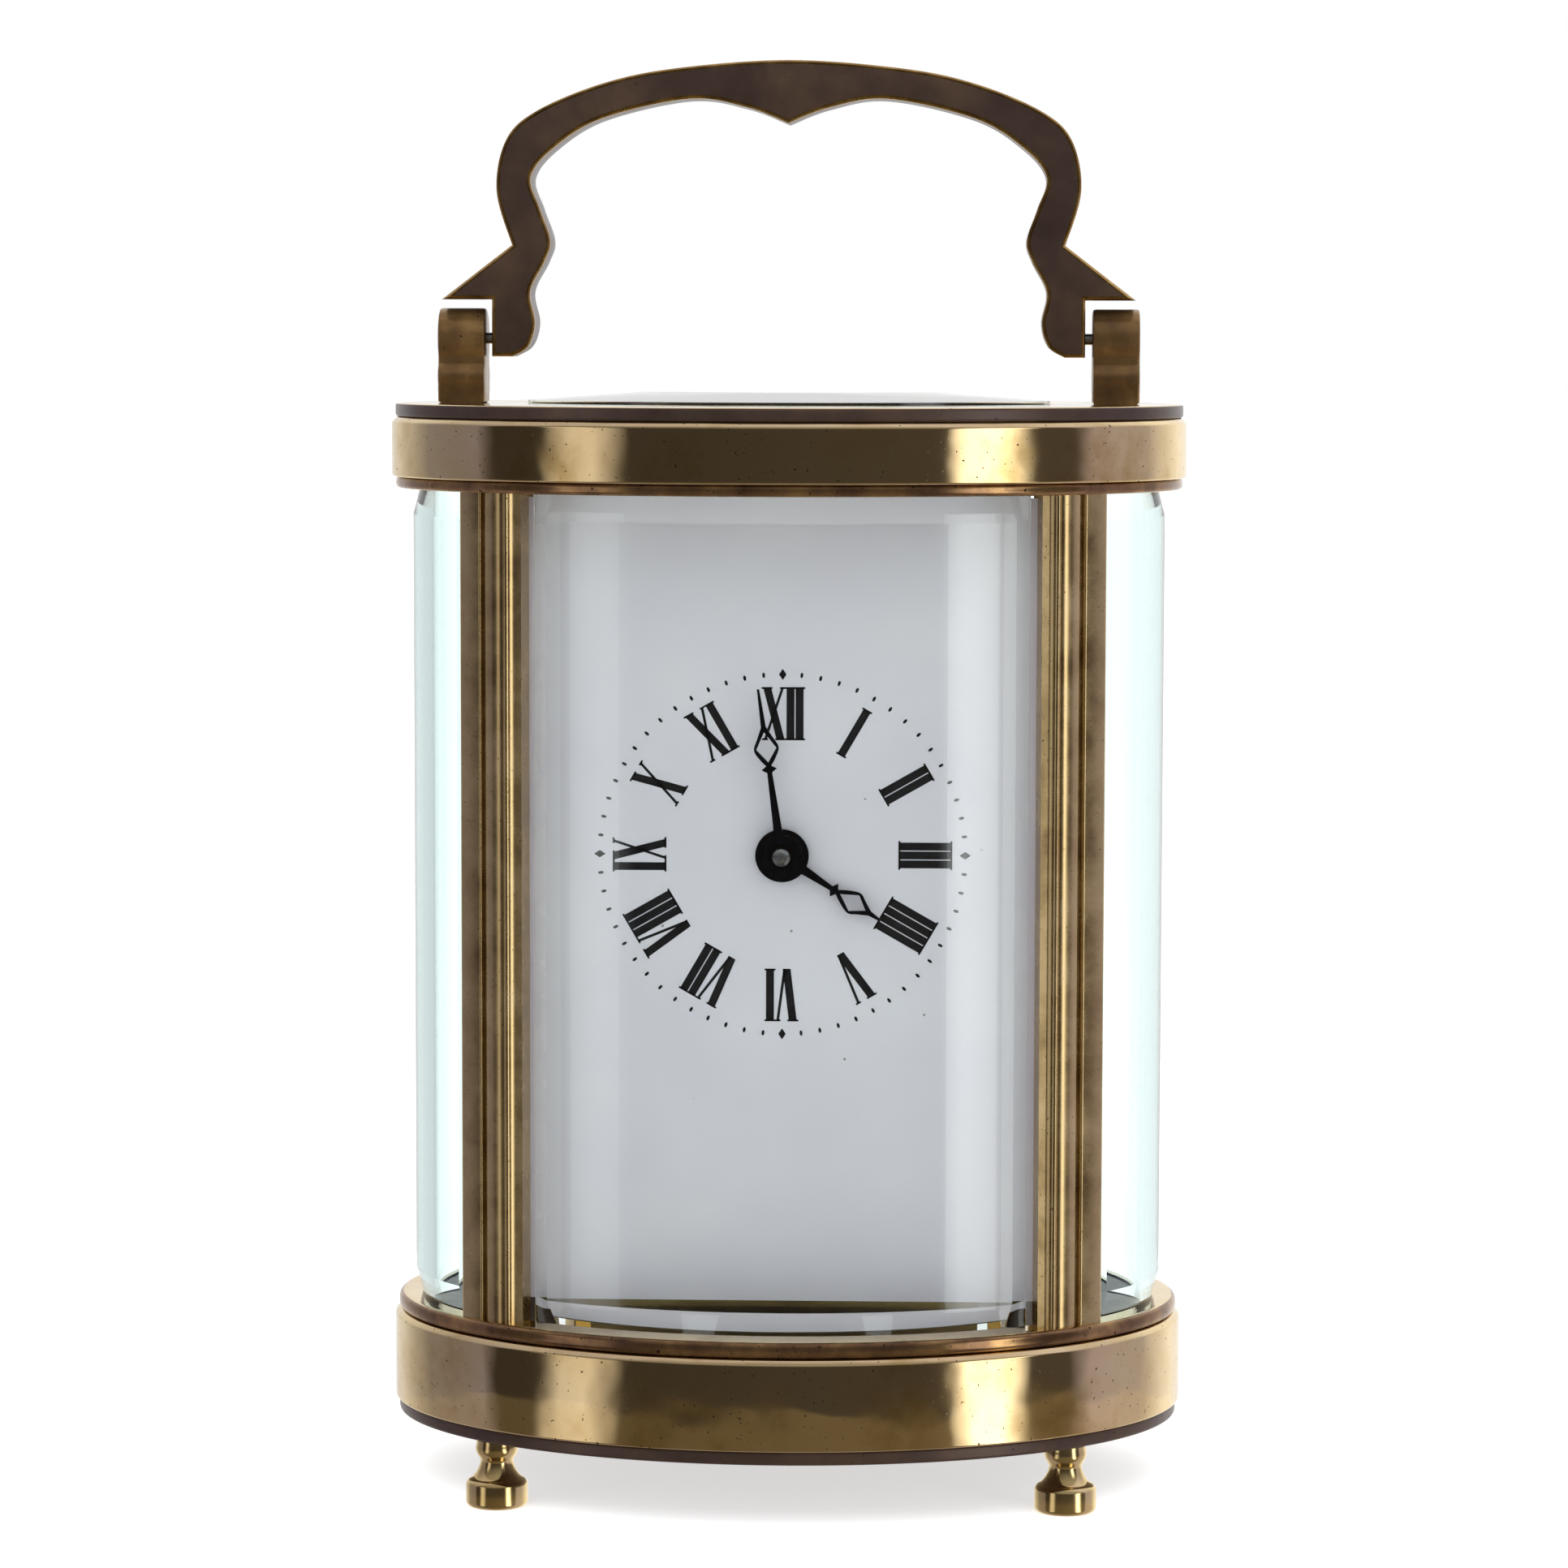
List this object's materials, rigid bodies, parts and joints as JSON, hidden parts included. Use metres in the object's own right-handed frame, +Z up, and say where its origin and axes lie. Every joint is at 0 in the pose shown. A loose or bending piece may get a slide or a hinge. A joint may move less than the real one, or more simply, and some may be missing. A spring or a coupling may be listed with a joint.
{
  "type": "carriage clock",
  "caption": "Oval brass carriage clock with curved bevelled glasses, reeded columns, swing handle, rear door, enamel dial and a key-wound movement with a platform escapement.",
  "frame": {"origin": "on the table, under the middle of the four feet", "axes": "+Z up, the dial faces -Y, +X to the right of someone who reads the dial"},
  "size_m": [0.0828, 0.0598, 0.1482],
  "materials": {
    "polished_brass": "polished, lightly pitted",
    "aged_brass": "brown patina with worn edges",
    "movement_brass": "fine brushed",
    "steel": "fine brushed",
    "blued_steel": "blued, near black",
    "glass": "bevelled, clear with a green edge",
    "enamel": "fired white enamel on copper"
  },
  "bodies": {
    "case": {"base_bottom_plate": "aged_brass", "base_band": "polished_brass", "base_top_plate": "polished_brass", "foot_front_left": "polished_brass", "foot_rear_left": "polished_brass", "foot_front_right": "polished_brass", "foot_rear_right": "polished_brass", "column_front_left": "polished_brass", "column_rear_left": "polished_brass", "column_front_right": "polished_brass", "column_rear_right": "polished_brass", "front_glass": "glass", "left_glass": "glass", "right_glass": "glass", "top_lip_plate": "polished_brass", "top_band": "polished_brass", "top_plate": "aged_brass", "top_glass": "glass", "handle_lug_left": "polished_brass", "handle_lug_right": "polished_brass", "handle_pin_left": "steel", "handle_pin_right": "steel", "dial": "enamel", "movement_front_plate": "movement_brass", "movement_back_plate": "movement_brass", "movement_pillar_lower_left": "movement_brass", "movement_pillar_upper_left": "movement_brass", "movement_pillar_lower_right": "movement_brass", "movement_pillar_upper_right": "movement_brass", "click_spring": "steel", "platform": "movement_brass", "escape_lower_cock": "movement_brass", "escape_cock": "movement_brass", "balance_cock": "movement_brass", "balance_spring": "steel"},
    "handle": {"handle": "aged_brass"},
    "rear_door": {"door_frame": "polished_brass", "door_glass": "glass", "door_knob": "polished_brass", "door_pin_lower": "steel", "door_pin_upper": "steel"},
    "minute_work": {"centre_wheel": "movement_brass", "cannon_pinion": "steel", "minute_hand": "blued_steel", "hand_nut": "steel"},
    "hour_work": {"hour_wheel": "movement_brass", "hour_hand": "blued_steel"},
    "minute_wheel": {"minute_wheel": "movement_brass"},
    "intermediate_wheel": {"intermediate_wheel": "movement_brass"},
    "barrel": {"going_barrel": "movement_brass"},
    "third_wheel": {"third_wheel": "movement_brass"},
    "contrate_wheel": {"contrate_wheel": "movement_brass"},
    "escape_wheel": {"escape_wheel": "steel"},
    "winding_arbor": {"winding_arbor": "steel", "ratchet_wheel": "steel"},
    "click": {"click": "steel"},
    "lever": {"lever": "steel"},
    "balance": {"balance": "movement_brass"}
  },
  "joints": [
    {"name": "handle_swing", "type": "hinge", "parent": "case", "child": "handle", "pos_m": [0, 0, 0.1196], "axis": [1, 0, 0], "range_deg": [-90, 90]},
    {"name": "rear_door_swing", "type": "hinge", "parent": "case", "child": "rear_door", "pos_m": [0.02344, 0.02192, 0.06], "axis": [0, 0, -1], "range_deg": [0, 100]},
    {"name": "minute_spin", "type": "hinge", "parent": "case", "child": "minute_work", "pos_m": [0, 0, 0.0673], "axis": [0, 1, 0], "continuous": true},
    {"name": "hour_spin", "type": "hinge", "parent": "case", "child": "hour_work", "pos_m": [0, 0, 0.0673], "axis": [0, 1, 0], "continuous": true},
    {"name": "minute_wheel_spin", "type": "hinge", "parent": "case", "child": "minute_wheel", "pos_m": [-0.00849, 0, 0.05881], "axis": [0, 1, 0], "continuous": true},
    {"name": "intermediate_spin", "type": "hinge", "parent": "case", "child": "intermediate_wheel", "pos_m": [0.00712, 0, 0.05583], "axis": [0, 1, 0], "continuous": true},
    {"name": "barrel_spin", "type": "hinge", "parent": "case", "child": "barrel", "pos_m": [0, 0, 0.03818], "axis": [0, 1, 0], "continuous": true},
    {"name": "third_spin", "type": "hinge", "parent": "case", "child": "third_wheel", "pos_m": [-0.00835, 0, 0.07537], "axis": [0, 1, 0], "continuous": true},
    {"name": "contrate_spin", "type": "hinge", "parent": "case", "child": "contrate_wheel", "pos_m": [0, 0, 0.08286], "axis": [0, 1, 0], "continuous": true},
    {"name": "escape_spin", "type": "hinge", "parent": "case", "child": "escape_wheel", "pos_m": [0, -0.00252, 0.098], "axis": [0, 0, 1], "continuous": true},
    {"name": "winding_spin", "type": "hinge", "parent": "case", "child": "winding_arbor", "pos_m": [0, 0, 0.03818], "axis": [0, 1, 0], "continuous": true},
    {"name": "click_lift", "type": "hinge", "parent": "case", "child": "click", "pos_m": [0.0115, 0.016, 0.04118], "axis": [0, 1, 0], "range_deg": [0, 15]},
    {"name": "lever_rock", "type": "hinge", "parent": "case", "child": "lever", "pos_m": [0, 0.00178, 0.098], "axis": [0, 0, 1], "range_deg": [-4, 4]},
    {"name": "balance_swing", "type": "hinge", "parent": "case", "child": "balance", "pos_m": [0, 0.00658, 0.101], "axis": [0, 0, 1], "range_deg": [-270, 270]}
  ],
  "couplings": [
    {"joint": "hour_spin", "follows": "minute_spin", "ratio": 0.083333},
    {"joint": "minute_wheel_spin", "follows": "minute_spin", "ratio": -0.33333},
    {"joint": "intermediate_spin", "follows": "minute_spin", "ratio": -0.2},
    {"joint": "barrel_spin", "follows": "minute_spin", "ratio": 0.026667},
    {"joint": "third_spin", "follows": "minute_spin", "ratio": -8},
    {"joint": "contrate_spin", "follows": "minute_spin", "ratio": 60},
    {"joint": "escape_spin", "follows": "minute_spin", "ratio": -480}
  ]
}
